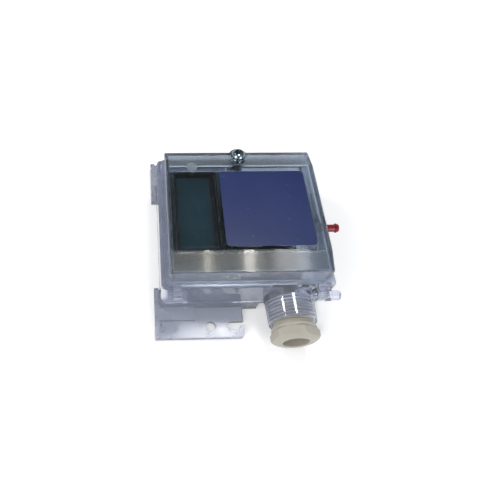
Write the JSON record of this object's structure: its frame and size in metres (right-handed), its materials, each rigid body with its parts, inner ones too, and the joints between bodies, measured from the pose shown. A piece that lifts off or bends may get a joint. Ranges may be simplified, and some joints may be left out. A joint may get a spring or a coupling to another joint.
{
  "type": "differential pressure transmitter",
  "caption": "Wall mounted differential pressure transmitter: clear hinged lid over display and blue panel, cable gland at the front, two hose nozzles, clear bracket.",
  "frame": {"origin": "on the wall plane, at the back face of the bracket, under the middle of the housing", "axes": "+Z leaves the wall, +Y leads away from the cable gland, +X leads out of the pressure nozzles"},
  "size_m": [0.1019, 0.1207, 0.0436],
  "materials": {
    "clear_housing": "clear polycarbonate with a faint lavender tint",
    "clear_lid": "clear polycarbonate, finely grained outside",
    "label_film": "satin navy blue printed film",
    "plated_steel": "zinc plated steel, lightly hazed",
    "gland_plastic": "light grey beige moulded polyamide",
    "seal_silicone": "natural translucent silicone",
    "o_ring_rubber": "black nitrile",
    "red_nozzle": "dark red translucent plastic",
    "clear_nozzle": "natural translucent plastic",
    "circuit_board": "green solder mask on glass fibre laminate",
    "display_frame": "black moulded plastic",
    "display_glass": "dark green grey liquid crystal glass",
    "contact_pins": "tinned and gold flashed pins",
    "terminal_housing": "green moulded plastic",
    "terminal_metal": "nickel plated steel",
    "button_case": "black plastic case",
    "button_cap": "light grey plastic plunger",
    "chip_package": "black epoxy package with tinned leads",
    "capacitor_can": "aluminium cans on black feet",
    "small_components": "dark ceramic chips",
    "sensor_body": "off white moulded plastic"
  },
  "bodies": {
    "housing": {"base_housing": "clear_housing", "mounting_bracket": "clear_housing", "bracket_screws": "plated_steel", "board_screws": "plated_steel", "gland_seal": "seal_silicone", "lid_gasket": "seal_silicone", "red_nozzle_hose": "seal_silicone", "clear_nozzle_hose": "seal_silicone", "nozzle_o_rings": "o_ring_rubber", "red_nozzle": "red_nozzle", "clear_nozzle": "clear_nozzle", "circuit_board": "circuit_board", "display_frame": "display_frame", "display_glass": "display_glass", "display_pins": "contact_pins", "terminal_block": "terminal_housing", "zero_button_case": "button_case", "processor_chip": "chip_package", "capacitors": "capacitor_can", "small_parts": "small_components", "pressure_sensor": "sensor_body"},
    "lid": {"lid": "clear_lid", "lid_label": "label_film"},
    "lid_screw_washer": {"lid_screw_washer": "plated_steel"},
    "lid_screw": {"lid_screw": "plated_steel"},
    "gland_thrust_ring": {"gland_thrust_ring": "gland_plastic"},
    "gland_nut": {"gland_nut": "gland_plastic"},
    "zero_button": {"zero_button": "button_cap"},
    "terminal_screw_1": {"terminal_screw_1": "terminal_metal"},
    "terminal_clamp_1": {"terminal_clamp_1": "terminal_metal"},
    "terminal_screw_2": {"terminal_screw_2": "terminal_metal"},
    "terminal_clamp_2": {"terminal_clamp_2": "terminal_metal"},
    "terminal_screw_3": {"terminal_screw_3": "terminal_metal"},
    "terminal_clamp_3": {"terminal_clamp_3": "terminal_metal"}
  },
  "joints": [
    {"name": "lid_hinge", "type": "hinge", "parent": "housing", "child": "lid", "pos_m": [0, -0.0431, 0.0236], "axis": [1, 0, 0], "range_deg": [0, 95]},
    {"name": "lid_screw_travel", "type": "slide", "parent": "lid", "child": "lid_screw_washer", "axis": [0, 0, 1], "range_m": [0, 0.0056]},
    {"name": "lid_screw_turn", "type": "hinge", "parent": "lid_screw_washer", "child": "lid_screw", "pos_m": [0, 0.0325, 0.04], "axis": [0, 0, 1], "range_deg": [0, 2890]},
    {"name": "gland_travel", "type": "slide", "parent": "housing", "child": "gland_thrust_ring", "axis": [0, -1, 0], "range_m": [0, 0.0053]},
    {"name": "gland_turn", "type": "hinge", "parent": "gland_thrust_ring", "child": "gland_nut", "pos_m": [0.0229, -0.06, 0.0134], "axis": [0, -1, 0], "range_deg": [0, 1080]},
    {"name": "zero_button_press", "type": "slide", "parent": "housing", "child": "zero_button", "axis": [0, 0, -1], "range_m": [0, 0.0004], "stiffness_N_per_m": 2500, "springref_m": -0.0003},
    {"name": "terminal_screw_1_turn", "type": "hinge", "parent": "housing", "child": "terminal_screw_1", "pos_m": [0.00992, -0.00985, 0.034], "axis": [0, 0, 1], "range_deg": [-1450, 0]},
    {"name": "terminal_clamp_1_rise", "type": "slide", "parent": "housing", "child": "terminal_clamp_1", "axis": [0, 0, 1], "range_m": [0, 0.0024]},
    {"name": "terminal_screw_2_turn", "type": "hinge", "parent": "housing", "child": "terminal_screw_2", "pos_m": [0.015, -0.00985, 0.034], "axis": [0, 0, 1], "range_deg": [-1450, 0]},
    {"name": "terminal_clamp_2_rise", "type": "slide", "parent": "housing", "child": "terminal_clamp_2", "axis": [0, 0, 1], "range_m": [0, 0.0024]},
    {"name": "terminal_screw_3_turn", "type": "hinge", "parent": "housing", "child": "terminal_screw_3", "pos_m": [0.02008, -0.00985, 0.034], "axis": [0, 0, 1], "range_deg": [-1450, 0]},
    {"name": "terminal_clamp_3_rise", "type": "slide", "parent": "housing", "child": "terminal_clamp_3", "axis": [0, 0, 1], "range_m": [0, 0.0024]}
  ],
  "couplings": [
    {"joint": "lid_screw_turn", "follows": "lid_screw_travel", "rad_per_m": 8976},
    {"joint": "gland_travel", "follows": "gland_turn", "m_per_rad": 0.00027852},
    {"joint": "terminal_screw_1_turn", "follows": "terminal_clamp_1_rise", "rad_per_m": -10472},
    {"joint": "terminal_screw_2_turn", "follows": "terminal_clamp_2_rise", "rad_per_m": -10472},
    {"joint": "terminal_screw_3_turn", "follows": "terminal_clamp_3_rise", "rad_per_m": -10472}
  ]
}
